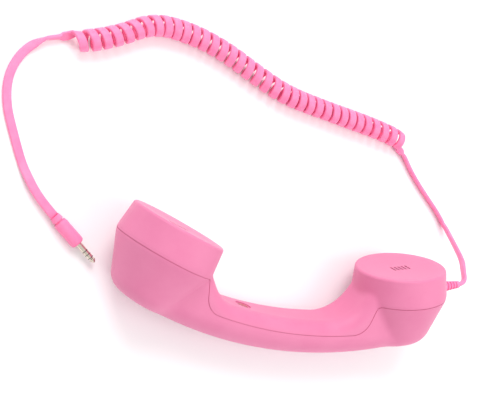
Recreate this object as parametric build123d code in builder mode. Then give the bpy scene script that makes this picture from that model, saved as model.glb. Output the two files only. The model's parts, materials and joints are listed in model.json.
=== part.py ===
from build123d import *
import math
import os

# Corded retro handset for a mobile phone, lying on its side with its cord laid out.
# Handset frame: x runs along the grip from ear (-x) to mouth (+x), z points the way the
# cups face, y runs across the grip. Row frame: +Z up from the surface that it lies on.

# ---- cups ----
cup_radius = 30.0          # widest radius, at the seam
rim_radius = 28.2          # outer radius of the cup face
cap_height = 17.5          # face to seam, along the cup axis
cup_tilt = 15.5            # each cup leans inwards by this, degrees
face_x = 77.0              # face centre from the middle of the handset
face_z = 62.5              # face centre above the middle of the back
bowl_taper = 22.5          # half angle of the bowl behind the seam, degrees
bowl_stock = 56.0          # raw bowl length before the back is cut
ridge_round = 10.0         # softening of the widest line
rim_round = 1.6
dish_depth = 1.2           # hollow of each face
dish_border = 3.2          # flat ring round the dish

# ---- grip ----
back_radius = 265.0
grip_width = 33.0
grip_thick = 21.5
grip_round = 8.0           # long edges on the side of the cups
back_round = 12.0          # long edges of the back
crease_round = 6.0         # where the grip runs into the cups
ear_neck = (24.0, 55.0, 7.9)     # blend radius, climb angle, start angle
mouth_neck = (28.0, 63.0, 6.7)
neck_reach = 8.0           # rise of the straight stretch past the blend
grip_end = 90.0            # the grip block ends inside the bowls
raw_floor = 14.0           # stock behind the back before it is cut

# ---- walls and seam ----
wall = 2.3
face_wall = 3.4
seam_height = 14.5         # seam above the back along the grip
seam_inner = 25.0          # the seam leaves the cup this far from its axis
seam_drop_x = 54.0         # where the seam comes down the neck
seam_corner = 4.0
seam_sweep = 12.0
groove_width = 0.35
groove_depth = 0.45
touch_gap = 0.05           # clearance of parts that sit in a pocket

# ---- shell screws ----
screw_x = 47.0
boss_radius = 3.2
screw_radius = 1.25
screw_head_radius = 2.3
screw_head_height = 1.6
screw_shelf = 5.0          # shelf under the screw head, above the back
screw_length = 15.0
screw_plug_thick = 1.6
screw_clearance = 0.15     # screw shank in the rear boss

# ---- ear unit ----
speaker_radius = 18.0
speaker_rim = 2.6          # flange beyond the surround
basket_wall = 1.2
basket_depth = 5.6
gasket_thick = 1.5
cone_radius = 12.4
cone_thick = 0.4
cone_drop = 0.4            # surround below the basket's flange
cone_fall = 2.4            # depth of the cone down to the voice coil
cone_to_pole = 1.5         # air below the cone
coil_radius = 6.6
coil_wall = 0.5
coil_length = 4.3
pole_radius = 6.0
pole_thick = 1.2
magnet_radius = 5.6
magnet_thick = 3.4
yoke_radius = 9.5
yoke_wall = 1.5
yoke_floor = 1.2
collar_wall = 1.4
slot_count = 5
slot_width = 1.2
slot_length = 6.5
slot_pitch = 2.6
mesh_thick = 0.3
ear_mesh_radius = 12.0

# ---- microphone ----
mic_radius = 3.0
mic_height = 3.2
mic_gap = 0.5              # air between the mesh and the capsule
mic_boot_wall = 1.3
mic_boot_floor = 0.8
mic_wire_hole = 1.2

# ---- call button ----
button_x = -24.0
button_radius = 3.0
button_gap = 0.3
recess_radius = 4.9
recess_depth = 0.7
button_low = 0.3           # button top below the grip surface
button_dish = 0.25
button_flange_radius = 4.4
button_flange = 0.8
button_play = 0.1          # flange to the inside of the wall
button_stem_radius = 1.5
button_stem = 1.5
plunger_radius = 1.7
plunger_gap = 0.2
plunger_length = 1.6
plunger_proud = 0.8
plunger_room = 0.7
switch_side = 6.0
switch_height = 3.4
board_length = 26.0
board_width = 14.0
board_thick = 1.6
board_screw_x = 10.0
board_screw_radius = 0.9
board_screw_head = 1.6
board_screw_head_height = 0.9
board_screw_length = 5.6
board_boss_radius = 2.2
board_corner = 1.5
lead_radius = 0.5

# ---- cord entry ----
cord_thick = 3.6           # round equal of the flat cord
coil_outer = 12.8          # outer diameter of the curly stretch
relief_base = 3.7
relief_tip = 2.3
relief_collar = 0.6        # straight neck past the cup before the taper
relief_length = 16.0       # past the widest radius of the cup
relief_seat = 1.0          # depth of the flange's pocket in the wall
relief_flange_radius = 5.0
relief_flange = 1.6
relief_ribs = 6
relief_rib_gap = 1.1
relief_rib_depth = 0.7
relief_bridge = 1.5        # web between two ribs
clamp_reach = 19.5         # clamp from the mouth cup's axis
clamp_width = 4.0
clamp_span = 16.0
clamp_thick = 2.0
clamp_screw_y = 6.0
clamp_screw_radius = 0.9
clamp_screw_head = 1.7
clamp_screw_head_height = 1.1
clamp_screw_length = 7.0

# Routes of the cord's centre line in the row frame. The first runs from the strain relief
# down to the surface and into the coil, the last from the coil to the plug.
relief_lead = 5.5          # straight stretch out of the strain relief
handset_route = [
    (133.0, 30.6, 28.6),
    (137.8, 38.6, 21.0),
    (138.3, 50.0, 11.2),
    (136.0, 62.0, 3.4),
    (129.5, 70.2, 1.8),
    (120.0, 78.5, 1.8),
    (108.0, 89.5, 1.8),
    (98.5, 100.5, 1.8),
    (89.5, 110.5, 4.0),
]
coil_route = [
    (91.0, 112.6),
    (69.0, 116.0),
    (34.0, 118.6),
    (-2.0, 121.6),
    (-24.0, 129.0),
    (-50.0, 139.2),
    (-76.0, 143.8),
    (-98.0, 142.6),
    (-118.0, 129.0),
    (-141.6, 119.0),
]
plug_route = [
    (-138.5, 119.4, 3.4),
    (-150.5, 121.6, 2.0),
    (-160.5, 116.8, 1.8),
    (-170.0, 107.0, 1.8),
    (-175.2, 93.0, 1.8),
    (-173.8, 77.0, 1.8),
    (-167.0, 61.0, 1.8),
    (-159.6, 45.0, 2.2),
    (-150.0, 29.6, 3.9),
    (-138.6, 20.5, 3.9),
]

# ---- plug ----
plug_radius = 3.9
plug_length = 20.0
plug_groove = 3.1          # grip groove near the cord
plug_groove_width = 1.0
plug_chamfer = 0.8
pin_radius = 1.75
pin_length = 14.0
pin_tip_length = 3.4
pin_ring_length = 2.0
pin_sleeve_length = 5.4
pin_core = 0.6
pin_tube = 0.95
pin_waist = 1.15
pin_nose = 0.5

tilt = math.radians(cup_tilt)
ridge_loss = ridge_round * (1 / math.cos(math.radians(bowl_taper + 6) / 2) - 1)
seam_z = face_z - cap_height * math.cos(tilt)
reach_y = cup_radius - ridge_loss - (grip_width / 2 - back_round)
reach_z = seam_z - back_round
lie_angle = math.degrees(
    math.atan2(reach_y, reach_z) - math.asin(back_round / math.hypot(reach_y, reach_z))
)
sides = {"ear": -1, "mouth": 1}


def cup_frame(side, depth=0.0):
    """Plane of a cup's face, or one depth behind it; x points away from the grip."""
    normal = Vector(-side * math.sin(tilt), 0, math.cos(tilt))
    origin = Vector(side * face_x, 0, face_z) - normal * depth
    return Plane(origin=origin, x_dir=(side * math.cos(tilt), 0, math.sin(tilt)), z_dir=normal)


def arc_height(radius, x):
    """Height of an arc round the back's own centre, at a place along the grip."""
    return back_radius - math.sqrt(radius**2 - x**2)


def neck_points(side, inset):
    """Tangent, middle, end and far end of the blend from the grip into a cup."""
    top = back_radius - grip_thick + inset
    blend, climb, start = ear_neck if side < 0 else mouth_neck
    blend = blend - inset
    climb, start = math.radians(climb), math.radians(start)
    centre_x = (top - blend) * math.sin(start)
    centre_z = back_radius - (top - blend) * math.cos(start)
    points = [(side * top * math.sin(start), back_radius - top * math.cos(start))]
    for angle in ((start + climb) / 2, climb):
        points.append((side * (centre_x + blend * math.sin(angle)), centre_z - blend * math.cos(angle)))
    points.append((points[2][0] + side * neck_reach / math.tan(climb), points[2][1] + neck_reach))
    return points


def handset_form(inset=0.0, face_inset=0.0, crease=0.0):
    """The outer form in handset coordinates, or the same form shrunk by a wall."""
    half = grip_width / 2 - inset
    top = back_radius - grip_thick + inset
    back = back_radius - inset
    radius = cup_radius - inset
    ear, mouth = neck_points(-1, inset), neck_points(1, inset)
    with BuildPart() as form:
        with BuildSketch(Plane.XZ):
            with BuildLine():
                ThreePointArc(ear[0], (0, back_radius - top), mouth[0])
                for side, neck in ((-1, ear), (1, mouth)):
                    ThreePointArc(neck[0], neck[1], neck[2])
                    Polyline(neck[2], neck[3], (side * grip_end, neck[3][1]), (side * grip_end, -raw_floor))
                Line((-grip_end, -raw_floor), (grip_end, -raw_floor))
            make_face()
        extrude(amount=half, both=True)
        flank_edges = form.edges().filter_by(lambda edge: abs(abs(edge.center().Y) - half) < 0.001)
        grip_edges = flank_edges.filter_by(
            lambda edge: edge.center().Z > back_radius - top - 1
            and ear[3][0] + 0.01 < edge.center().X < mouth[3][0] - 0.01
        )
        fillet(grip_edges, grip_round - inset)

        creases = []
        for side in sides.values():
            face = cup_frame(side)
            depth = cap_height + bowl_stock
            with BuildSketch(Plane(origin=face.origin, x_dir=face.x_dir, z_dir=-face.y_dir)) as profile:
                with BuildLine():
                    Polyline(
                        (0, -face_inset),
                        (rim_radius - inset, -face_inset),
                        (radius, -cap_height),
                        (radius - bowl_stock * math.tan(math.radians(bowl_taper)), -depth),
                        (0, -depth),
                        close=True,
                    )
                make_face()
                ridge = profile.vertices().sort_by(Axis.X)[-1]
                fillet(ridge, ridge_round)
            revolve(axis=Axis(face.origin, face.z_dir))
            creases.extend(form.edges(Select.NEW))
        if crease:
            creases = ShapeList(creases).filter_by(
                lambda edge: edge.center().Z > 1 - raw_floor and abs(edge.center().X) < grip_end - 1
            )
            fillet(creases, crease)

        span = grip_end + 60
        with BuildSketch(Plane.XZ):
            with BuildLine():
                ThreePointArc((-span, arc_height(back, span)), (0, inset), (span, arc_height(back, span)))
                Polyline(
                    (span, arc_height(back, span)),
                    (span, -80),
                    (-span, -80),
                    (-span, arc_height(back, span)),
                )
            make_face()
        extrude(amount=cup_radius + 10, both=True, mode=Mode.SUBTRACT)
        back_edges = form.edges().filter_by(
            lambda edge: all(
                abs(math.hypot((edge @ t).X, (edge @ t).Z - back_radius) - back) < 0.001 for t in (0, 0.3, 1)
            )
        )
        fillet(back_edges, back_round - inset)
        if inset < rim_round:
            rims = form.edges().filter_by(GeomType.CIRCLE)
            rims = rims.filter_by(lambda edge: abs(edge.radius - rim_radius + inset) < 0.001)
            fillet(rims, rim_round - inset)
    return form.part


# The form is worked out standing, then laid on its side until both cups and the grip's
# back touch the surface; every other sub-part is drawn on planes laid in the same way.
standing_form = handset_form(crease=crease_round)
rolled = Location((0, 0, 0), (lie_angle - 90, 0, 0))
box = standing_form.moved(rolled).bounding_box()
lying = Location((-box.center().X, -box.center().Y, -box.min.Z), (lie_angle - 90, 0, 0))
outer_form = standing_form.moved(lying)
groove_form = handset_form(groove_depth, groove_depth, crease_round + groove_depth).moved(lying)
hollow_form = handset_form(wall, face_wall).moved(lying)


def laid(plane):
    """A plane given in handset coordinates, laid with the handset."""
    return Plane(lying * plane.location)


def ear_plane(depth=0.0):
    return laid(cup_frame(sides["ear"], depth))


def mouth_plane(depth=0.0):
    return laid(cup_frame(sides["mouth"], depth))


def upright(plane, x=0.0, y=0.0, z=0.0):
    """A plane parallel to another one, moved by an offset in that plane's own frame."""
    return Plane(plane.location * Location((x, y, z)))


def section_plane(plane):
    """The radial plane through another plane's axis: sketch x is radius, sketch y is height."""
    return Plane(origin=plane.origin, x_dir=plane.x_dir, z_dir=-plane.y_dir)


def axis_of(plane):
    return Axis(plane.origin, plane.z_dir)


# ---- seam between the two shells ----
def seam_zone(drop=0.0):
    """Half of space on the cups' side of the seam, moved back by drop."""
    ends = {}
    for name, side in sides.items():
        seam = cup_frame(side, cap_height + drop)
        ends[name] = (seam.from_local_coords((-seam_inner, 0, 0)), seam.from_local_coords((70, 0, 0)))
    arc = back_radius - seam_height + drop
    inner_x = seam_drop_x + drop
    ear_in, ear_out = ends["ear"]
    mouth_in, mouth_out = ends["mouth"]
    ceiling = face_z + 60
    with BuildPart() as zone:
        with BuildSketch(laid(Plane.XZ)) as outline:
            with BuildLine():
                ThreePointArc(
                    (-inner_x, arc_height(arc, inner_x)),
                    (0, back_radius - arc),
                    (inner_x, arc_height(arc, inner_x)),
                )
                Polyline(
                    (inner_x, arc_height(arc, inner_x)),
                    (mouth_in.X + drop, mouth_in.Z),
                    (mouth_out.X, mouth_out.Z),
                    (mouth_out.X, ceiling),
                    (ear_out.X, ceiling),
                    (ear_out.X, ear_out.Z),
                    (ear_in.X - drop, ear_in.Z),
                    (-inner_x, arc_height(arc, inner_x)),
                )
            make_face()
            corners = outline.vertices()
            fillet(corners.filter_by(lambda v: abs(abs(v.X) - inner_x) < 0.01), seam_sweep)
            corners = outline.vertices()
            fillet(corners.filter_by(lambda v: abs(abs(v.X) - mouth_in.X - drop) < 0.01), seam_corner)
        extrude(amount=cup_radius + 10, both=True)
    return zone.part


front_zone = seam_zone()
groove_zone = seam_zone(groove_width)

# ---- call button frame ----
grip_top = back_radius - grip_thick
button_angle = math.asin(button_x / grip_top)
button_frame = laid(
    Plane(
        origin=(button_x, 0, arc_height(grip_top, button_x)),
        x_dir=(math.cos(button_angle), 0, math.sin(button_angle)),
        z_dir=(-math.sin(button_angle), 0, math.cos(button_angle)),
    )
)
flange_low = wall + button_play + button_flange
stem_end = flange_low + button_stem
plunger_top = stem_end
switch_top = plunger_top + plunger_proud
board_top = switch_top + switch_height

# ---- cord entry frame: z runs out of the mouth cup along the seam plane ----
mouth_seam = laid(cup_frame(sides["mouth"], cap_height))
relief_frame = Plane(origin=mouth_seam.origin, x_dir=mouth_seam.z_dir, z_dir=mouth_seam.x_dir)
cord_radius = cord_thick / 2
flange_out = cup_radius - wall + relief_seat - relief_flange
flange_in = flange_out - relief_flange
relief_end = cup_radius + relief_length
with BuildPart() as relief_cut:
    with BuildSketch(relief_frame.offset(flange_in - relief_flange)):
        Circle(relief_flange_radius + touch_gap)
    extrude(amount=2 * relief_flange)
    with BuildSketch(relief_frame.offset(flange_in)):
        Circle(relief_base)
    extrude(amount=cup_radius)

# ---- front shell: both cup faces and the inner side of the grip ----
boss_joint = arc_height(back_radius - seam_height, screw_x)
screw_places = [(-screw_x, 0), (screw_x, 0)]
board_places = [(-board_screw_x, 0), (board_screw_x, 0)]
with BuildPart() as front_bosses:
    with BuildSketch(laid(Plane.XY.offset(boss_joint))):
        with Locations(*screw_places):
            Circle(boss_radius)
            Circle(screw_radius, mode=Mode.SUBTRACT)
    extrude(amount=seam_height)
    with BuildSketch(button_frame.offset(-board_top)):
        with Locations(*board_places):
            Circle(board_boss_radius)
            Circle(board_screw_radius, mode=Mode.SUBTRACT)
    extrude(amount=board_top - groove_depth)
    add(groove_form, mode=Mode.INTERSECT)

with BuildPart() as front_shell:
    add(outer_form)
    add(hollow_form, mode=Mode.SUBTRACT)
    add(front_zone, mode=Mode.INTERSECT)
    add(front_bosses.part)
    for face in (ear_plane(), mouth_plane()):
        dish_radius = rim_radius - rim_round - dish_border
        ball = (dish_radius**2 + dish_depth**2) / (2 * dish_depth)
        half = dish_radius / 2
        with BuildSketch(section_plane(face)):
            with BuildLine():
                bottom = (0, -dish_depth)
                middle = (half, ball - dish_depth - math.sqrt(ball**2 - half**2))
                ThreePointArc(bottom, middle, (dish_radius, 0))
                Polyline((dish_radius, 0), (dish_radius, 1), (0, 1), bottom)
            make_face()
        revolve(axis=axis_of(face), mode=Mode.SUBTRACT)
        with BuildSketch(face):
            with GridLocations(slot_pitch, 0, slot_count, 1):
                SlotOverall(slot_length, slot_width, rotation=90)
        extrude(amount=-face_wall - touch_gap, mode=Mode.SUBTRACT)
    with BuildSketch(ear_plane(face_wall)):
        Circle(speaker_radius + touch_gap + collar_wall)
        Circle(speaker_radius + touch_gap, mode=Mode.SUBTRACT)
    extrude(amount=-gasket_thick - basket_depth + basket_wall)
    with BuildSketch(mouth_plane(face_wall)):
        Circle(mic_radius + mic_boot_wall + 2 * touch_gap + collar_wall)
        Circle(mic_radius + mic_boot_wall + 2 * touch_gap, mode=Mode.SUBTRACT)
    extrude(amount=-mesh_thick - mic_gap - mic_height)
    with BuildSketch(button_frame.offset(-recess_depth)):
        Circle(recess_radius)
    extrude(amount=button_radius, mode=Mode.SUBTRACT)
    with BuildSketch(button_frame):
        Circle(button_radius + button_gap)
    extrude(amount=-wall - button_play, mode=Mode.SUBTRACT)
    add(relief_cut.part, mode=Mode.SUBTRACT)
front_shell.part.label = "front_shell"

# ---- rear shell: the back of the grip and both bowls ----
shelf = arc_height(back_radius, screw_x) + screw_shelf
clamp_bed = upright(mouth_seam, x=clamp_reach, z=cord_radius)
clamp_places = [(0, -clamp_screw_y), (0, clamp_screw_y)]
with BuildPart() as rear_bosses:
    with BuildSketch(laid(Plane.XY)):
        with Locations(*screw_places):
            Circle(boss_radius)
    extrude(amount=boss_joint)
    with BuildSketch(clamp_bed):
        Rectangle(clamp_width, clamp_span)
    extrude(amount=-cap_height)
    with BuildSketch(relief_frame.offset(clamp_reach - clamp_width)):
        with Locations((cord_radius, 0)):
            SlotCenterToCenter(cord_thick, cord_thick)
    extrude(amount=2 * clamp_width, mode=Mode.SUBTRACT)
    add(groove_form, mode=Mode.INTERSECT)

with BuildPart() as seam_groove:
    add(outer_form)
    add(groove_form, mode=Mode.SUBTRACT)
    add(groove_zone, mode=Mode.INTERSECT)

with BuildPart() as rear_shell:
    add(outer_form)
    add(hollow_form, mode=Mode.SUBTRACT)
    add(front_zone, mode=Mode.SUBTRACT)
    add(seam_groove.part, mode=Mode.SUBTRACT)
    add(rear_bosses.part)
    with BuildSketch(laid(Plane.XY.offset(shelf))):
        with Locations(*screw_places):
            Circle(screw_head_radius + touch_gap)
    extrude(amount=-2 * shelf, mode=Mode.SUBTRACT)
    with BuildSketch(laid(Plane.XY)):
        with Locations(*screw_places):
            Circle(screw_radius + screw_clearance)
    extrude(amount=2 * boss_joint, mode=Mode.SUBTRACT)
    with BuildSketch(clamp_bed):
        with Locations(*clamp_places):
            Circle(clamp_screw_radius)
    extrude(amount=clamp_thick - clamp_screw_length, mode=Mode.SUBTRACT)
    add(relief_cut.part, mode=Mode.SUBTRACT)
rear_shell.part.label = "rear_shell"

with BuildPart() as shell_screws:
    with BuildSketch(laid(Plane.XY.offset(shelf))):
        with Locations(*screw_places):
            Circle(screw_head_radius)
    extrude(amount=-screw_head_height)
    with BuildSketch(laid(Plane.XY.offset(shelf))):
        with Locations(*screw_places):
            Circle(screw_radius)
    extrude(amount=screw_length)
shell_screws.part.label = "shell_screws"

with BuildPart() as screw_plugs:
    with BuildSketch(laid(Plane.XY.offset(shelf - screw_shelf + screw_plug_thick))):
        with Locations(*screw_places):
            Circle(screw_head_radius + touch_gap)
    extrude(amount=-2 * shelf)
    add(outer_form, mode=Mode.INTERSECT)
screw_plugs.part.label = "screw_plugs"


# ---- profiles of turned pieces ----
def ring_at(plane, outer, inner=0.0):
    """A disc or ring on a plane."""
    with BuildSketch(plane) as profile:
        Circle(outer)
        if inner:
            Circle(inner, mode=Mode.SUBTRACT)
    return profile.sketch


def half_section(plane, *outline):
    """Half of a turned piece's section, from pairs of radius and height over a plane."""
    with BuildSketch(section_plane(plane)) as profile:
        with BuildLine():
            Polyline(*outline, close=True)
        make_face()
    return profile.sketch


def behind(*outline):
    """Pairs of radius and depth behind a plane as pairs of radius and height over it."""
    return [(radius, -depth) for radius, depth in outline]


# ---- ear unit, from its gasket back to its magnet ----
ear_face = ear_plane()
ear_axis = axis_of(ear_face)
flange_depth = face_wall + gasket_thick
basket_floor = flange_depth + basket_depth
basket_inside = basket_floor - basket_wall
surround_outer = speaker_radius - speaker_rim
cone_depth = flange_depth + cone_drop
cone_low = cone_depth + cone_fall
cone_throat = cone_radius / 3
pole_depth = cone_low + cone_to_pole
magnet_depth = pole_depth + pole_thick
yoke_inside = magnet_depth + magnet_thick
yoke_end = yoke_inside + yoke_floor

with BuildPart() as ear_mesh:
    extrude(ring_at(ear_plane(face_wall), ear_mesh_radius), amount=-mesh_thick)
ear_mesh.part.label = "ear_mesh"

with BuildPart() as speaker_gasket:
    extrude(ring_at(ear_plane(face_wall), speaker_radius, surround_outer), amount=-gasket_thick)
speaker_gasket.part.label = "speaker_gasket"

with BuildPart() as speaker_basket:
    basket_outline = behind(
        (surround_outer, flange_depth),
        (speaker_radius, flange_depth),
        (speaker_radius, basket_floor),
        (yoke_radius, basket_floor),
        (yoke_radius, basket_inside),
        (speaker_radius - basket_wall, basket_inside),
        (speaker_radius - basket_wall, flange_depth + basket_wall),
        (surround_outer, flange_depth + basket_wall),
    )
    revolve(half_section(ear_face, *basket_outline), axis=ear_axis)
speaker_basket.part.label = "speaker_basket"

with BuildPart() as speaker_cone:
    cone_outline = behind(
        (0, cone_depth + 2 * cone_thick),
        (cone_throat, cone_depth + 3 * cone_thick),
        (coil_radius, cone_low - cone_thick),
        (coil_radius + coil_wall, cone_low - cone_thick),
        (cone_radius, cone_depth),
        (cone_radius, cone_depth + cone_thick),
        (coil_radius + coil_wall, cone_low),
        (coil_radius, cone_low),
        (cone_throat, cone_depth + 4 * cone_thick),
        (0, cone_depth + 3 * cone_thick),
    )
    revolve(half_section(ear_face, *cone_outline), axis=ear_axis)
speaker_cone.part.label = "speaker_cone"

with BuildPart() as speaker_surround:
    with BuildSketch(section_plane(ear_face)):
        inner_land = cone_radius + cone_thick
        outer_land = surround_outer - cone_thick
        crest = (cone_radius + surround_outer) / 2
        upper = -cone_depth
        lower = -cone_depth - cone_thick
        with BuildLine():
            ThreePointArc((inner_land, upper), (crest, upper + cone_thick), (outer_land, upper))
            Polyline((outer_land, upper), (surround_outer, upper), (surround_outer, lower), (outer_land, lower))
            ThreePointArc((outer_land, lower), (crest, lower + cone_thick), (inner_land, lower))
            Polyline((inner_land, lower), (cone_radius, lower), (cone_radius, upper), (inner_land, upper))
        make_face()
    revolve(axis=ear_axis)
speaker_surround.part.label = "speaker_surround"

with BuildPart() as voice_coil:
    extrude(ring_at(ear_plane(cone_low), coil_radius + coil_wall, coil_radius), amount=-coil_length)
voice_coil.part.label = "voice_coil"

with BuildPart() as speaker_pole_plate:
    extrude(ring_at(ear_plane(pole_depth), pole_radius), amount=-pole_thick)
speaker_pole_plate.part.label = "speaker_pole_plate"

with BuildPart() as speaker_magnet:
    extrude(ring_at(ear_plane(magnet_depth), magnet_radius), amount=-magnet_thick)
speaker_magnet.part.label = "speaker_magnet"

with BuildPart() as speaker_yoke:
    yoke_outline = behind(
        (0, yoke_end),
        (yoke_radius, yoke_end),
        (yoke_radius, basket_inside),
        (yoke_radius - yoke_wall, basket_inside),
        (yoke_radius - yoke_wall, yoke_inside),
        (0, yoke_inside),
    )
    revolve(half_section(ear_face, *yoke_outline), axis=ear_axis)
speaker_yoke.part.label = "speaker_yoke"

# ---- microphone in its rubber boot ----
mouth_face = mouth_plane()
boot_inside = mic_radius + touch_gap
boot_radius = boot_inside + mic_boot_wall
mesh_low = face_wall + mesh_thick
mic_low = mesh_low + mic_gap + mic_height

with BuildPart() as mic_mesh:
    extrude(ring_at(mouth_plane(face_wall), boot_radius), amount=-mesh_thick)
mic_mesh.part.label = "mic_mesh"

with BuildPart() as mic_capsule:
    extrude(ring_at(mouth_plane(mic_low - mic_height), mic_radius), amount=-mic_height)
mic_capsule.part.label = "mic_capsule"

with BuildPart() as mic_boot:
    boot_outline = behind(
        (boot_inside, mesh_low),
        (boot_radius, mesh_low),
        (boot_radius, mic_low + mic_boot_floor),
        (mic_wire_hole, mic_low + mic_boot_floor),
        (mic_wire_hole, mic_low),
        (boot_inside, mic_low),
    )
    revolve(half_section(mouth_face, *boot_outline), axis=axis_of(mouth_face))
mic_boot.part.label = "mic_boot"

# ---- call button, its switch and the board ----
with BuildPart() as call_button:
    ball = (button_radius**2 + button_dish**2) / (2 * button_dish)
    half = button_radius / 2
    dish = -button_low - button_dish
    with BuildSketch(section_plane(button_frame)):
        with BuildLine():
            middle = (half, dish + ball - math.sqrt(ball**2 - half**2))
            ThreePointArc((0, dish), middle, (button_radius, -button_low))
            Polyline(
                (button_radius, -button_low),
                (button_radius, button_flange - flange_low),
                (button_flange_radius, button_flange - flange_low),
                (button_flange_radius, -flange_low),
                (button_stem_radius, -flange_low),
                (button_stem_radius, -stem_end),
                (0, -stem_end),
                (0, dish),
            )
        make_face()
    revolve(axis=axis_of(button_frame))
call_button.part.label = "call_button"

with BuildPart() as switch_plunger:
    extrude(ring_at(button_frame.offset(-plunger_top), plunger_radius), amount=-plunger_length)
switch_plunger.part.label = "switch_plunger"

with BuildPart() as switch_body:
    with BuildSketch(button_frame.offset(-switch_top)):
        RectangleRounded(switch_side, switch_side, button_flange / 2)
    extrude(amount=-switch_height)
    with BuildSketch(button_frame.offset(-switch_top)):
        Circle(plunger_radius + plunger_gap)
    extrude(amount=plunger_proud - plunger_length - plunger_room, mode=Mode.SUBTRACT)
switch_body.part.label = "switch_body"

with BuildPart() as circuit_board:
    with BuildSketch(button_frame.offset(-board_top)):
        RectangleRounded(board_length, board_width, board_corner)
        with Locations(*board_places):
            Circle(board_screw_radius + touch_gap, mode=Mode.SUBTRACT)
    extrude(amount=-board_thick)
circuit_board.part.label = "circuit_board"

board_under = button_frame.offset(-board_top - board_thick)
with BuildPart() as board_screws:
    with BuildSketch(board_under):
        with Locations(*board_places):
            Circle(board_screw_head)
    extrude(amount=-board_screw_head_height)
    with BuildSketch(board_under):
        with Locations(*board_places):
            Circle(board_screw_radius)
    extrude(amount=board_screw_length)
board_screws.part.label = "board_screws"

# ---- cord entry: strain relief and cord clamp ----
with BuildPart() as strain_relief:
    relief_outline = [
        (0, flange_in),
        (relief_flange_radius, flange_in),
        (relief_flange_radius, flange_out),
        (relief_base, flange_out),
        (relief_base, cup_radius + relief_collar),
        (relief_tip, relief_end),
        (0, relief_end),
    ]
    revolve(half_section(relief_frame, *relief_outline), axis=axis_of(relief_frame))
    rib_pitch = (relief_length - 2 * relief_collar - relief_rib_gap) / relief_ribs
    for rib in range(relief_ribs):
        rib_height = cup_radius + 2 * relief_collar + rib * rib_pitch
        taper = (relief_base - relief_tip) * (rib_height - cup_radius) / relief_length
        with BuildSketch(relief_frame.offset(rib_height)):
            Circle(relief_base + relief_rib_depth)
            Circle(relief_base - taper - relief_rib_depth, mode=Mode.SUBTRACT)
            Rectangle(4 * relief_base, relief_bridge, mode=Mode.SUBTRACT)
        extrude(amount=relief_rib_gap, mode=Mode.SUBTRACT)
strain_relief.part.label = "strain_relief"

with BuildPart() as cord_clamp:
    with BuildSketch(clamp_bed):
        Rectangle(clamp_width, clamp_span)
        with Locations(*clamp_places):
            Circle(clamp_screw_radius + touch_gap, mode=Mode.SUBTRACT)
    extrude(amount=clamp_thick)
cord_clamp.part.label = "cord_clamp"

clamp_over = upright(clamp_bed, z=clamp_thick)
with BuildPart() as clamp_screws:
    with BuildSketch(clamp_over):
        with Locations(*clamp_places):
            Circle(clamp_screw_head)
    extrude(amount=clamp_screw_head_height)
    with BuildSketch(clamp_over):
        with Locations(*clamp_places):
            Circle(clamp_screw_radius)
    extrude(amount=-clamp_screw_length)
clamp_screws.part.label = "clamp_screws"


# ---- tubes of the cord and the wiring ----
def route_radii(route, share=0.45):
    """The largest arc that the two runs at each corner allow."""
    points = [Vector(*point) for point in route]
    radii = []
    for before, corner, after in zip(points, points[1:], points[2:]):
        arriving, leaving = corner - before, after - corner
        turn = math.radians(arriving.get_angle(leaving))
        radii.append(share * min(arriving.length, leaving.length) / math.tan(turn / 2))
    return radii


def cord_path(route):
    """Straight runs joined by tangent arcs."""
    with BuildLine() as path:
        FilletPolyline(*route, radius=route_radii(route))
    return path.wire()


def cord_section(path, radius):
    """The disc at the start of a path."""
    with BuildSketch(Plane(origin=path @ 0, z_dir=path % 0)) as section:
        Circle(radius)
    return section.sketch


def print_cord(name, piece, path, radius, route):
    """Print a tube's length, bends and how well its volume matches its section."""
    ratio = piece.part.volume / (math.pi * radius**2 * path.length)
    bends = ", ".join(f"{bend:.1f}" for bend in route_radii(route))
    print(f"{name}: length {path.length:.1f}, volume over section x length {ratio:.4f}, radii {bends}")


def in_handset(x, y, z):
    """A point of the handset's own frame in the row frame."""
    return (lying * Location((x, y, z))).position


tip_exit = relief_frame.offset(relief_end).origin
tip_lead = relief_frame.offset(relief_end + relief_lead).origin
tail_points = [tip_exit, tip_lead, *handset_route]
with BuildPart() as cord_tail_handset:
    tail_path = cord_path(tail_points)
    sweep(cord_section(tail_path, cord_radius), path=tail_path)
cord_tail_handset.part.label = "cord_tail_handset"
print_cord("cord_tail_handset", cord_tail_handset, tail_path, cord_radius, tail_points)

coil_points = [(x, y, coil_outer / 2) for x, y in coil_route]
with BuildPart() as cord_coil:
    coil_path = cord_path(coil_points)
    sweep(cord_section(coil_path, coil_outer / 2), path=coil_path)
cord_coil.part.label = "cord_coil"
print_cord("cord_coil", cord_coil, coil_path, coil_outer / 2, coil_points)

with BuildPart() as cord_tail_plug:
    plug_path = cord_path(plug_route)
    sweep(cord_section(plug_path, cord_radius), path=plug_path)
cord_tail_plug.part.label = "cord_tail_plug"
print_cord("cord_tail_plug", cord_tail_plug, plug_path, cord_radius, plug_route)

# The cord inside the handset passes beside the screw boss and ends at the board.
board_middle = -board_top - board_thick / 2
inner_points = [
    relief_frame.offset(flange_in).origin,
    relief_frame.offset(clamp_reach - 2 * clamp_width).origin,
    in_handset(80, 3, 39),
    in_handset(68, 8, 27),
    in_handset(55, 9, 17),
    in_handset(38, 9, 11.5),
    in_handset(18, 6, 9.5),
    upright(button_frame, x=board_length, z=board_middle).origin,
    upright(button_frame, x=board_length / 2, z=board_middle).origin,
]
with BuildPart() as inner_cord:
    inner_path = cord_path(inner_points)
    sweep(cord_section(inner_path, cord_radius), path=inner_path)
inner_cord.part.label = "inner_cord"
print_cord("inner_cord", inner_cord, inner_path, cord_radius, inner_points)

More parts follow.
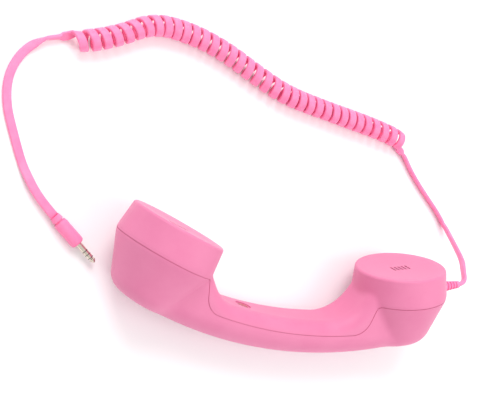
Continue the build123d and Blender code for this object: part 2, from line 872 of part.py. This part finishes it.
with BuildPart() as speaker_leads:
    for side in (-1, 1):
        lead_points = [
            upright(ear_plane(basket_floor), x=-14, y=-3 * side).origin,
            upright(ear_plane(basket_floor + 8), x=-14, y=-3 * side).origin,
            in_handset(-62, 4 * side, 29.5),
            in_handset(-53, 5.5 * side, 19.5),
            upright(button_frame, x=-board_length / 2 - 8, y=5 * side, z=board_middle).origin,
            upright(button_frame, x=-board_length / 2, y=5 * side, z=board_middle).origin,
        ]
        lead_path = cord_path(lead_points)
        sweep(cord_section(lead_path, lead_radius), path=lead_path)
speaker_leads.part.label = "speaker_leads"

with BuildPart() as mic_leads:
    for shift in (-0.62, 0.62):
        lead_points = [
            upright(mouth_plane(mic_low), y=shift).origin,
            upright(mouth_plane(mic_low + 8), y=shift).origin,
            in_handset(74, shift - 4, 35),
            in_handset(64, shift - 6, 24),
            in_handset(52, shift - 6, 16),
            in_handset(36, shift - 6, 11.5),
            in_handset(16, shift - 5.5, 10),
            upright(button_frame, x=board_length - 2, y=shift - 4.6, z=board_middle).origin,
            upright(button_frame, x=board_length / 2, y=shift - 4.6, z=board_middle).origin,
        ]
        lead_path = cord_path(lead_points)
        sweep(cord_section(lead_path, lead_radius), path=lead_path)
mic_leads.part.label = "mic_leads"

# ---- plug: z of its frame runs from the cord to the tip ----
cord_end = Vector(*plug_route[-1])
plug_frame = Plane(origin=cord_end, z_dir=cord_end - Vector(*plug_route[-2]))
pin_frame = plug_frame.offset(plug_length)
waist = 0.82 * plug_radius
neck = 0.66 * plug_radius
with BuildPart() as plug_body:
    body_outline = [
        (0, 0),
        (0.72 * plug_radius, 0),
        (waist, plug_groove - 1),
        (waist, plug_groove),
        (neck, plug_groove),
        (neck, plug_groove + plug_groove_width),
        (0.92 * plug_radius, plug_groove + plug_groove_width),
        (plug_radius, plug_groove + 3 * plug_groove_width),
        (plug_radius, plug_length - plug_chamfer),
        (plug_radius - plug_chamfer, plug_length),
        (0, plug_length),
    ]
    revolve(half_section(plug_frame, *body_outline), axis=axis_of(plug_frame))
plug_body.part.label = "plug_body"

pin_gap = (pin_length - pin_sleeve_length - 2 * pin_ring_length - pin_tip_length) / 3
back_start = pin_sleeve_length + pin_gap
front_start = back_start + pin_ring_length + pin_gap
tip_start = front_start + pin_ring_length + pin_gap

with BuildPart() as plug_sleeve:
    extrude(ring_at(pin_frame, pin_radius, pin_tube), amount=pin_sleeve_length)
plug_sleeve.part.label = "plug_sleeve"

with BuildPart() as plug_ring_back:
    extrude(ring_at(pin_frame.offset(back_start), pin_radius, pin_tube), amount=pin_ring_length)
plug_ring_back.part.label = "plug_ring_back"

with BuildPart() as plug_ring_front:
    extrude(ring_at(pin_frame.offset(front_start), pin_radius, pin_tube), amount=pin_ring_length)
plug_ring_front.part.label = "plug_ring_front"

with BuildPart() as plug_tip:
    tip_outline = [
        (0, 0),
        (pin_core, 0),
        (pin_core, tip_start),
        (pin_waist, tip_start),
        (pin_waist, tip_start + 0.2 * pin_tip_length),
        (pin_radius, tip_start + 0.4 * pin_tip_length),
        (pin_radius, tip_start + 0.5 * pin_tip_length),
        (pin_nose, pin_length),
        (0, pin_length),
    ]
    revolve(half_section(pin_frame, *tip_outline), axis=axis_of(pin_frame))
plug_tip.part.label = "plug_tip"

with BuildPart() as plug_insulator:
    extrude(ring_at(pin_frame, pin_tube, pin_core), amount=tip_start)
    for start in (back_start, front_start, tip_start):
        extrude(ring_at(pin_frame.offset(start - pin_gap), pin_radius, pin_core), amount=pin_gap)
plug_insulator.part.label = "plug_insulator"

# ---- one file for each sub-part ----
sub_parts = [
    front_shell,
    rear_shell,
    shell_screws,
    screw_plugs,
    ear_mesh,
    speaker_gasket,
    speaker_basket,
    speaker_cone,
    speaker_surround,
    voice_coil,
    speaker_pole_plate,
    speaker_magnet,
    speaker_yoke,
    speaker_leads,
    mic_mesh,
    mic_capsule,
    mic_boot,
    mic_leads,
    call_button,
    switch_plunger,
    switch_body,
    circuit_board,
    board_screws,
    strain_relief,
    cord_clamp,
    clamp_screws,
    inner_cord,
    cord_tail_handset,
    cord_coil,
    cord_tail_plug,
    plug_body,
    plug_sleeve,
    plug_ring_back,
    plug_ring_front,
    plug_tip,
    plug_insulator,
]
os.makedirs("parts", exist_ok=True)
for sub_part in sub_parts:
    export_step(sub_part.part, f"parts/{sub_part.part.label}.step")
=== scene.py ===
import json
import math

import bmesh
import bpy
from mathutils import Matrix, Vector


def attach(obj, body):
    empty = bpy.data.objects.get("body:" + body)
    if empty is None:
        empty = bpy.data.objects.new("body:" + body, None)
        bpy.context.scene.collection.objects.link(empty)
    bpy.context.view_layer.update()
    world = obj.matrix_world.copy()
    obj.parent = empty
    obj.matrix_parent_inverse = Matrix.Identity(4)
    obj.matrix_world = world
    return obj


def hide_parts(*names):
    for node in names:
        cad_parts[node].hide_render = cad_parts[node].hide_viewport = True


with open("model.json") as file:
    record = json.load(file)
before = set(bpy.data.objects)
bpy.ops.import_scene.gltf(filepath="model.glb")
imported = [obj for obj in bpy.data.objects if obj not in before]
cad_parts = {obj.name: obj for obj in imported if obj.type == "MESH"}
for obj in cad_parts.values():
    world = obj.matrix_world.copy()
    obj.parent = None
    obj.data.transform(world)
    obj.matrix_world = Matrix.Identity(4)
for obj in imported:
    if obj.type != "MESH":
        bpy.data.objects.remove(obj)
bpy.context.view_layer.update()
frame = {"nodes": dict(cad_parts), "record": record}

# Corded retro handset for a mobile phone, lying on a pale floor. Metres, row frame.
MM = 0.001
UP = Vector((0, 0, 1))
HANDSET = "handset"


# ---- camera: looks down on the handset from the ear end, rolled so that +Y is up ----
CAMERA_PLACE = Vector((-0.3061, -0.0518, 0.5248))
CAMERA_BACK = Vector((-0.4701, -0.1626, 0.8675)).normalized()
CAMERA_UP = Vector((-0.1784, 0.9801, 0.0870))
CAMERA_LENS = 74.0


def make_camera():
    """The camera at the photograph's viewing angle."""
    data = bpy.data.cameras.new("camera")
    data.lens = CAMERA_LENS
    data.clip_start = 0.01
    camera = bpy.data.objects.new("camera", data)
    right = CAMERA_UP.cross(CAMERA_BACK).normalized()
    up = CAMERA_BACK.cross(right)
    turn = Matrix((right, up, CAMERA_BACK)).transposed().to_4x4()
    camera.matrix_world = Matrix.Translation(CAMERA_PLACE) @ turn
    bpy.context.collection.objects.link(camera)
    bpy.context.scene.camera = camera


make_camera()


# ---- node material helpers ----
def new_material(name):
    """An empty node material with its Principled shader, which is returned with it."""
    material = bpy.data.materials.new(name)
    material.use_nodes = True
    return material, material.node_tree.nodes["Principled BSDF"]


def add_node(material, kind, **settings):
    """A node with its attributes and inputs set."""
    node = material.node_tree.nodes.new(kind)
    for key, value in settings.items():
        if hasattr(node, key):
            setattr(node, key, value)
        else:
            node.inputs[key].default_value = value
    return node


def link(material, start, end):
    """Join an output to an input."""
    material.node_tree.links.new(start, end)


def object_coordinates(material):
    """The object's own coordinates, which stay with a piece as it moves."""
    return add_node(material, "ShaderNodeTexCoord").outputs["Object"]


def noise_of(material, scale, detail=3.0, roughness=0.55):
    """Noise over object coordinates."""
    node = add_node(material, "ShaderNodeTexNoise")
    node.inputs["Scale"].default_value = scale
    node.inputs["Detail"].default_value = detail
    node.inputs["Roughness"].default_value = roughness
    link(material, object_coordinates(material), node.inputs["Vector"])
    return node


def spread(material, source, low, high, low_in=0.35, high_in=0.65):
    """A source value mapped from its middle range to low..high."""
    node = add_node(material, "ShaderNodeMapRange")
    node.inputs["From Min"].default_value = low_in
    node.inputs["From Max"].default_value = high_in
    node.inputs["To Min"].default_value = low
    node.inputs["To Max"].default_value = high
    link(material, source, node.inputs["Value"])
    return node.outputs["Result"]


def mixed_colour(material, factor, one, two):
    """A colour between two, by a factor."""
    node = add_node(material, "ShaderNodeMix", data_type="RGBA")
    node.inputs["A"].default_value = (*one, 1)
    node.inputs["B"].default_value = (*two, 1)
    link(material, factor, node.inputs["Factor"])
    return node.outputs["Result"]


def bump(material, shader, heights):
    """Stacked bumps: pairs of a height output and its depth in metres."""
    normal = None
    for height, depth in heights:
        node = add_node(material, "ShaderNodeBump")
        node.inputs["Strength"].default_value = 1.0
        node.inputs["Distance"].default_value = depth
        link(material, height, node.inputs["Height"])
        if normal:
            link(material, normal, node.inputs["Normal"])
        normal = node.outputs["Normal"]
    link(material, normal, shader.inputs["Normal"])


# ---- materials ----
def soft_touch_pink():
    """Rubberised paint on moulded plastic: satin, with a very fine grain and faint mottling."""
    material, shader = new_material("soft_touch_pink")
    mottle = noise_of(material, 55)
    grain = noise_of(material, 5200, detail=2)
    tone = spread(material, mottle.outputs["Fac"], 0, 1)
    colour = mixed_colour(material, tone, (0.696, 0.182, 0.342), (0.718, 0.203, 0.364))
    link(material, colour, shader.inputs["Base Color"])
    link(material, spread(material, mottle.outputs["Fac"], 0.50, 0.58), shader.inputs["Roughness"])
    shader.inputs["Specular IOR Level"].default_value = 0.42
    shader.inputs["Sheen Weight"].default_value = 0.12
    shader.inputs["Sheen Roughness"].default_value = 0.4
    shader.inputs["Sheen Tint"].default_value = (1.0, 0.75, 0.85, 1)
    bump(material, shader, [(grain.outputs["Fac"], 0.000012), (mottle.outputs["Fac"], 0.00004)])
    return material


def cord_pink(name="cord_pink", roughness=0.46):
    """Soft jacket, a little more saturated than the shells, with a fine grain."""
    material, shader = new_material(name)
    mottle = noise_of(material, 160)
    grain = noise_of(material, 4200, detail=2)
    tone = spread(material, mottle.outputs["Fac"], 0, 1)
    colour = mixed_colour(material, tone, (0.975, 0.215, 0.430), (1.0, 0.255, 0.470))
    link(material, colour, shader.inputs["Base Color"])
    low, high = roughness - 0.04, roughness + 0.06
    link(material, spread(material, mottle.outputs["Fac"], low, high), shader.inputs["Roughness"])
    shader.inputs["Specular IOR Level"].default_value = 0.4
    shader.inputs["Subsurface Weight"].default_value = 0.12
    shader.inputs["Subsurface Radius"].default_value = (1.0, 0.3, 0.4)
    shader.inputs["Subsurface Scale"].default_value = 0.0008
    bump(material, shader, [(grain.outputs["Fac"], 0.00001)])
    return material


def plain_plastic(name, colour, roughness=0.4, grain_depth=0.000012):
    """Moulded plastic or rubber with a fine spark-eroded grain."""
    material, shader = new_material(name)
    grain = noise_of(material, 3000, detail=2)
    cloud = noise_of(material, 120)
    darker = tuple(0.82 * part for part in colour)
    tone = spread(material, cloud.outputs["Fac"], 0, 1)
    link(material, mixed_colour(material, tone, darker, colour), shader.inputs["Base Color"])
    tone = spread(material, cloud.outputs["Fac"], roughness - 0.05, roughness + 0.07)
    link(material, tone, shader.inputs["Roughness"])
    bump(material, shader, [(grain.outputs["Fac"], grain_depth)])
    return material


def metal(name, colour, roughness=0.22):
    """Plated metal with turning marks and small scratches."""
    material, shader = new_material(name)
    shader.inputs["Metallic"].default_value = 1.0
    scratches = noise_of(material, 1800, detail=4, roughness=0.7)
    cloud = noise_of(material, 240)
    darker = tuple(0.86 * part for part in colour)
    tone = spread(material, cloud.outputs["Fac"], 0, 1)
    link(material, mixed_colour(material, tone, darker, colour), shader.inputs["Base Color"])
    tone = spread(material, scratches.outputs["Fac"], roughness - 0.06, roughness + 0.1)
    link(material, tone, shader.inputs["Roughness"])
    bump(material, shader, [(scratches.outputs["Fac"], 0.000004)])
    return material


def woven(name, colour):
    """Acoustic mesh: a fine weave from two crossed waves."""
    material, shader = new_material(name)
    place = object_coordinates(material)
    heights = []
    for direction in ("X", "Z"):
        wave = add_node(material, "ShaderNodeTexWave", bands_direction=direction)
        wave.inputs["Scale"].default_value = 900
        link(material, place, wave.inputs["Vector"])
        heights.append((wave.outputs["Fac"], 0.00004))
    cloud = noise_of(material, 400)
    tone = spread(material, cloud.outputs["Fac"], 0, 1)
    darker = tuple(0.6 * part for part in colour)
    link(material, mixed_colour(material, tone, darker, colour), shader.inputs["Base Color"])
    shader.inputs["Roughness"].default_value = 0.8
    bump(material, shader, heights)
    return material


PINK = soft_touch_pink()
CORD = cord_pink()
MOULDED = cord_pink("moulded_pink", roughness=0.52)
RED = plain_plastic("button_red", (0.50, 0.02, 0.06), roughness=0.32)
BLACK = plain_plastic("insulator_black", (0.035, 0.033, 0.035))
RUBBER = plain_plastic("black_rubber", (0.03, 0.03, 0.03), roughness=0.7)
PAPER = plain_plastic("cone_paper", (0.12, 0.11, 0.10), roughness=0.85, grain_depth=0.00006)
BOARD = plain_plastic("board_green", (0.02, 0.18, 0.07), roughness=0.3)
CONTACT = metal("plug_metal", (0.86, 0.78, 0.66), roughness=0.2)
STEEL = metal("steel", (0.58, 0.58, 0.60), roughness=0.3)
COPPER = metal("copper", (0.75, 0.38, 0.22), roughness=0.35)
MESH = woven("acoustic_mesh", (0.06, 0.055, 0.06))

BY_SLOT = {
    "soft_touch_pink": PINK,
    "cord_pink": MOULDED,
    "button_red": RED,
    "plug_metal": CONTACT,
    "insulator_black": BLACK,
    "steel": STEEL,
    "copper": COPPER,
    "cone_paper": PAPER,
    "acoustic_mesh": MESH,
    "black_rubber": RUBBER,
    "board_green": BOARD,
    "plunger_black": BLACK,
}


# ---- cord: one flat cord, straight, wound and straight again ----
# The route's points in millimetres, as in the CAD source: strain relief to coil, the
# axis of the coil, and coil to plug.
HANDSET_ROUTE = [
    (126.0, 20.39, 32.42),
    (131.3, 21.77, 32.93),
    (133.0, 30.6, 28.6),
    (137.8, 38.6, 21.0),
    (138.3, 50.0, 11.2),
    (136.0, 62.0, 3.4),
    (129.5, 70.2, 1.8),
    (120.0, 78.5, 1.8),
    (108.0, 89.5, 1.8),
    (98.5, 100.5, 1.8),
]
COIL_ROUTE = [
    (91.0, 112.6),
    (69.0, 116.0),
    (34.0, 118.6),
    (-2.0, 121.6),
    (-24.0, 129.0),
    (-50.0, 139.2),
    (-76.0, 143.8),
    (-98.0, 142.6),
    (-118.0, 129.0),
    (-141.6, 119.0),
]
PLUG_ROUTE = [
    (-150.5, 121.6, 2.0),
    (-160.5, 116.8, 1.8),
    (-170.0, 107.0, 1.8),
    (-175.2, 93.0, 1.8),
    (-173.8, 77.0, 1.8),
    (-167.0, 61.0, 1.8),
    (-159.6, 45.0, 2.2),
    (-150.0, 29.6, 3.9),
    (-138.6, 20.5, 3.9),
]
COIL_AXIS_HEIGHT = 6.4
RIBBON_WIDTH = 5.0
RIBBON_THICK = 2.1
RIBBON_CORNER = 0.75
NECK_LENGTH = 9.0          # stretch over which the round exit turns flat
NECK_RADIUS = 1.55

WIND_RADIUS = 5.3          # middle of the flat cord in the coil
TURNS = 36
TURN_STEPS = 26
HAND = 1                   # sense of the winding
FIRST_ANGLE = math.radians(-90)
PITCH_WAVES = ((0.06, 17, 0), (0.04, 7.3, 1))   # share of the pitch, length, phase
RADIUS_WAVE = 0.015        # share by which the winding's radius swells and shrinks
RADIUS_WAVE_LENGTH = 11
RAMP = 11.0                # length over which the winding opens and closes
RAMP_FADE = 4              # stretch over which the smoothing there starts and stops
SMOOTH_ROUNDS = 30         # rounds of smoothing where the winding opens and closes
TAIL_STEP = 1.3            # spacing of the rings on the straight stretches
STEP_RISE = 3              # how fast the spacing follows the winding

# How the flat cord is turned and how it lies on the floor.
EDGE_WAY = Vector((-0.35, -0.12, 0.93))   # wide side where the cord stands on its edge
WIDE_RISE = 2.5            # how fast the wide side follows the winding
FLAT_START = 12            # past the coil, where the cord starts to turn flat
FLAT_LENGTH = 22
FLOOR_GAP = 0.02
LYING_TOP = 4.2            # a centre below this height is drawn down to the floor
LYING_BAND = 1.5
LYING_RISE = 3             # how fast the winding lifts the cord off the floor
PLUG_FREE = 22             # stretch before the plug that isn't drawn down
PLUG_FREE_BAND = 14
WELD = 1e-7


def smooth(value):
    """An ease from 0 to 1."""
    value = min(max(value, 0.0), 1.0)
    return value * value * (3 - 2 * value)


def spline_line(points, resolution=40):
    """Points along the NURBS spline of a route, in millimetres."""
    data = bpy.data.curves.new("route", "CURVE")
    data.dimensions = "3D"
    data.resolution_u = resolution
    spline = data.splines.new("NURBS")
    spline.points.add(len(points) - 1)
    for control, place in zip(spline.points, points):
        control.co = (*place, 1)
    spline.order_u = 3
    spline.use_endpoint_u = True
    route = bpy.data.objects.new("route", data)
    mesh = bpy.data.meshes.new_from_object(route)
    line = [vertex.co.copy() for vertex in mesh.vertices]
    bpy.data.objects.remove(route)
    bpy.data.meshes.remove(mesh)
    return line


class Line:
    """A polyline that gives its point and heading at a length along it."""

    def __init__(self, points):
        self.points = points
        self.lengths = [0.0]
        for one, two in zip(points, points[1:]):
            self.lengths.append(self.lengths[-1] + (two - one).length)
        self.length = self.lengths[-1]

    def at(self, along):
        """The point at a length along the line."""
        along = min(max(along, 0.0), self.length)
        low, high = 0, len(self.points) - 1
        while high - low > 1:
            middle = (low + high) // 2
            if self.lengths[middle] <= along:
                low = middle
            else:
                high = middle
        run = self.lengths[high] - self.lengths[low]
        share = (along - self.lengths[low]) / run if run else 0.0
        return self.points[low].lerp(self.points[high], share)

    def heading(self, along, reach=2.0):
        """The direction at a length, taken over a reach to both sides."""
        return (self.at(along + reach) - self.at(along - reach)).normalized()

    def nearest(self, place):
        """The length along the line of its point nearest to a place."""
        best = min(range(len(self.points)), key=lambda i: (self.points[i] - place).length)
        return self.lengths[best]


def ribbon_outline(half_width, half_thick, corner, steps=4):
    """Closed outline of a flat section with rounded edges: pairs across and through."""
    corner = min(corner, 0.98 * half_thick, 0.98 * half_width)
    outline = []
    for quarter in range(4):
        centre_x = (half_width - corner) * (1 if quarter in (0, 3) else -1)
        centre_y = (half_thick - corner) * (1 if quarter in (0, 1) else -1)
        for step in range(steps + 1):
            angle = math.radians(90 * (quarter + step / steps))
            across = centre_x + corner * math.cos(angle)
            through = centre_y + corner * math.sin(angle)
            outline.append((across, through))
    return outline


def near_ramp(along, coil_start, coil_end):
    """1 where the winding opens or closes, 0 elsewhere."""
    near = min(abs(along - coil_start + RAMP / 2), abs(along - coil_end - RAMP / 2))
    return smooth((RAMP - near) / RAMP_FADE)


def wind(axis, coil_start, coil_end):
    """Stations of the cord: the length along its axis, the winding's angle, the share wound."""
    pitch = (coil_end - coil_start) / TURNS
    stations, along, angle = [], 0.0, FIRST_ANGLE
    while along < axis.length - TAIL_STEP / 2:
        opening = smooth((along - coil_start + RAMP) / RAMP)
        closing = smooth((coil_end + RAMP - along) / RAMP)
        stations.append((along, angle, opening * closing))
        turning = smooth((along - coil_start + RAMP / 2) / RAMP)
        turning *= smooth((coil_end + RAMP / 2 - along) / RAMP)
        step = TAIL_STEP + (pitch / TURN_STEPS - TAIL_STEP) * smooth(STEP_RISE * turning)
        uneven = 1
        for share, wave, phase in PITCH_WAVES:
            uneven += share * math.sin(along / wave + phase)
        angle += HAND * 2 * math.pi * turning * step / (pitch * uneven)
        along += step
    stations.append((axis.length, angle, 0.0))
    return stations


def wound_centres(axis, stations, coil_start, coil_end):
    """The cord's centres, smoothed at the coil's ends, and the way out from the axis at each."""
    centres, radials = [], []
    for along, angle, wound in stations:
        heading = axis.heading(along)
        side = UP.cross(heading).normalized()
        over = heading.cross(side)
        radial = side * math.cos(angle) + over * math.sin(angle)
        swell = 1 + RADIUS_WAVE * math.sin(along / RADIUS_WAVE_LENGTH)
        radius = WIND_RADIUS * wound * swell
        centres.append(axis.at(along) + radial * radius)
        radials.append(radial)
    masks = [near_ramp(along, coil_start, coil_end) for along, angle, wound in stations]
    for _ in range(SMOOTH_ROUNDS):
        for i in range(1, len(centres) - 1):
            middle = (centres[i - 1] + centres[i + 1]) / 2
            centres[i] = centres[i].lerp(middle, 0.5 * masks[i])
    return centres, radials


def wide_way(along, heading, across, wound, coil_start, coil_end):
    """The way that the flat cord's wide side points: on edge, wound, on edge, then flat."""
    flat = UP.cross(heading).normalized()
    turned = smooth((along - coil_end - FLAT_START) / FLAT_LENGTH)
    plain = EDGE_WAY if along < coil_start else EDGE_WAY.lerp(flat, turned)
    if plain.dot(across) < 0:
        across = -across
    share = smooth(WIDE_RISE * wound)
    return plain.normalized().lerp(across, share)


def section_at(along):
    """Outline of the cord's section: round at the exit, then flat."""
    neck = 1 - smooth(along / NECK_LENGTH)
    half_width = RIBBON_WIDTH / 2 + (NECK_RADIUS - RIBBON_WIDTH / 2) * neck
    half_thick = RIBBON_THICK / 2 + (NECK_RADIUS - RIBBON_THICK / 2) * neck
    corner = RIBBON_CORNER + (NECK_RADIUS - RIBBON_CORNER) * neck
    return ribbon_outline(half_width, half_thick, corner)


def floor_shift(ring, height, left, wound):
    """What keeps a ring above the floor, or draws it down where the cord lies on it."""
    lowest = min(point.z for point in ring)
    lying = smooth((LYING_TOP - height) / LYING_BAND)
    lying *= 1 - smooth(LYING_RISE * wound)
    lying *= smooth((left - PLUG_FREE) / PLUG_FREE_BAND)
    lift = max(FLOOR_GAP - lowest, 0.0)
    drop = max(lowest - FLOOR_GAP, 0.0) * lying
    return Vector((0, 0, lift - drop))


def cord_rings():
    """Centres and rings of the cord's mesh, in millimetres."""
    axis_points = [Vector(p) for p in HANDSET_ROUTE]
    axis_points += [Vector((x, y, COIL_AXIS_HEIGHT)) for x, y in COIL_ROUTE]
    axis_points += [Vector(p) for p in PLUG_ROUTE]
    axis = Line(spline_line(axis_points))
    coil_start = axis.nearest(Vector((*COIL_ROUTE[0], COIL_AXIS_HEIGHT)))
    coil_end = axis.nearest(Vector((*COIL_ROUTE[-1], COIL_AXIS_HEIGHT)))
    stations = wind(axis, coil_start, coil_end)
    centres, radials = wound_centres(axis, stations, coil_start, coil_end)

    rings = []
    last = len(centres) - 1
    for index, (along, angle, wound) in enumerate(stations):
        heading = (centres[min(index + 1, last)] - centres[max(index - 1, 0)]).normalized()
        across = radials[index].cross(heading).normalized()
        wide = wide_way(along, heading, across, wound, coil_start, coil_end)
        across = (wide - heading * wide.dot(heading)).normalized()
        through = heading.cross(across)
        ring = [centres[index] + across * u + through * v for u, v in section_at(along)]
        shift = floor_shift(ring, centres[index].z, axis.length - along, wound)
        centres[index] = centres[index] + shift
        rings.append([point + shift for point in ring])
    return centres, rings


def skin(name, rings, material):
    """A closed mesh through rings of points given in millimetres."""
    mesh = bpy.data.meshes.new(name)
    build = bmesh.new()
    loops = [[build.verts.new(point * MM) for point in ring] for ring in rings]
    for one, two in zip(loops, loops[1:]):
        for i in range(len(one)):
            j = (i + 1) % len(one)
            build.faces.new((one[i], one[j], two[j], two[i]))
    build.faces.new(list(reversed(loops[0])))
    build.faces.new(loops[-1])
    bmesh.ops.remove_doubles(build, verts=build.verts, dist=WELD)
    bmesh.ops.recalc_face_normals(build, faces=build.faces)
    build.to_mesh(mesh)
    build.free()
    for polygon in mesh.polygons:
        polygon.use_smooth = len(polygon.vertices) <= 4
    mesh.materials.append(material)
    piece = bpy.data.objects.new(name, mesh)
    bpy.context.collection.objects.link(piece)
    return piece


def make_cord():
    """The flat cord in one piece, in place of the three cord nodes from CAD."""
    centres, rings = cord_rings()
    cord = skin("flat_cord", rings, CORD)
    length = sum((two - one).length for one, two in zip(centres, centres[1:]))
    print("cord length, mm:", round(length, 1))
    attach(cord, HANDSET)
    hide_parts("cord_tail_handset", "cord_coil", "cord_tail_plug")
    on_cord = ["strain_relief", "plug_body", "plug_insulator"]
    on_cord += ["plug_sleeve", "plug_ring_back", "plug_ring_front", "plug_tip"]


make_cord()


# ---- carried-over nodes and their materials ----
def finish_node(name):
    """Give a node the material of its slot."""
    node = frame["nodes"][name]
    slot_name = next(s["material_slot"] for s in frame["record"]["subparts"] if s["node"] == name)
    node.data.materials.clear()
    node.data.materials.append(BY_SLOT[slot_name])


for node_name in frame["nodes"]:
    finish_node(node_name)


# ---- floor and light ----
FLOOR_HALF = 6
WORLD_STRENGTH = 0.75


def make_floor():
    """A pale floor that is only for the picture."""
    mesh = bpy.data.meshes.new("floor")
    build = bmesh.new()
    bmesh.ops.create_grid(build, x_segments=4, y_segments=4, size=FLOOR_HALF)
    build.to_mesh(mesh)
    build.free()
    material, shader = new_material("floor_white")
    cloud = noise_of(material, 3)
    tone = spread(material, cloud.outputs["Fac"], 0, 1)
    colour = mixed_colour(material, tone, (0.93, 0.93, 0.93), (0.95, 0.95, 0.95))
    link(material, colour, shader.inputs["Base Color"])
    shader.inputs["Roughness"].default_value = 0.9
    mesh.materials.append(material)
    floor = bpy.data.objects.new("floor", mesh)
    bpy.context.collection.objects.link(floor)


def make_light(name, place, aim, size, power):
    """A soft square light that faces a point."""
    data = bpy.data.lights.new(name, "AREA")
    data.size = size
    data.energy = power
    light = bpy.data.objects.new(name, data)
    light.location = place
    light.rotation_euler = (Vector(place) - Vector(aim)).to_track_quat("Z", "Y").to_euler()
    bpy.context.collection.objects.link(light)


def make_world(strength):
    """An even white surrounding."""
    world = bpy.data.worlds.new("studio")
    world.use_nodes = True
    background = world.node_tree.nodes["Background"]
    background.inputs["Color"].default_value = (1, 1, 1, 1)
    background.inputs["Strength"].default_value = strength
    bpy.context.scene.world = world


make_floor()
make_world(WORLD_STRENGTH)
make_light("key", place=(-0.4, 1.25, 1.2), aim=(0, 0.05, 0), size=1.2, power=21)
make_light("fill", place=(0.9, -0.7, 1.2), aim=(0, 0.03, 0), size=1.4, power=13)
bpy.context.scene.view_settings.view_transform = "Standard"
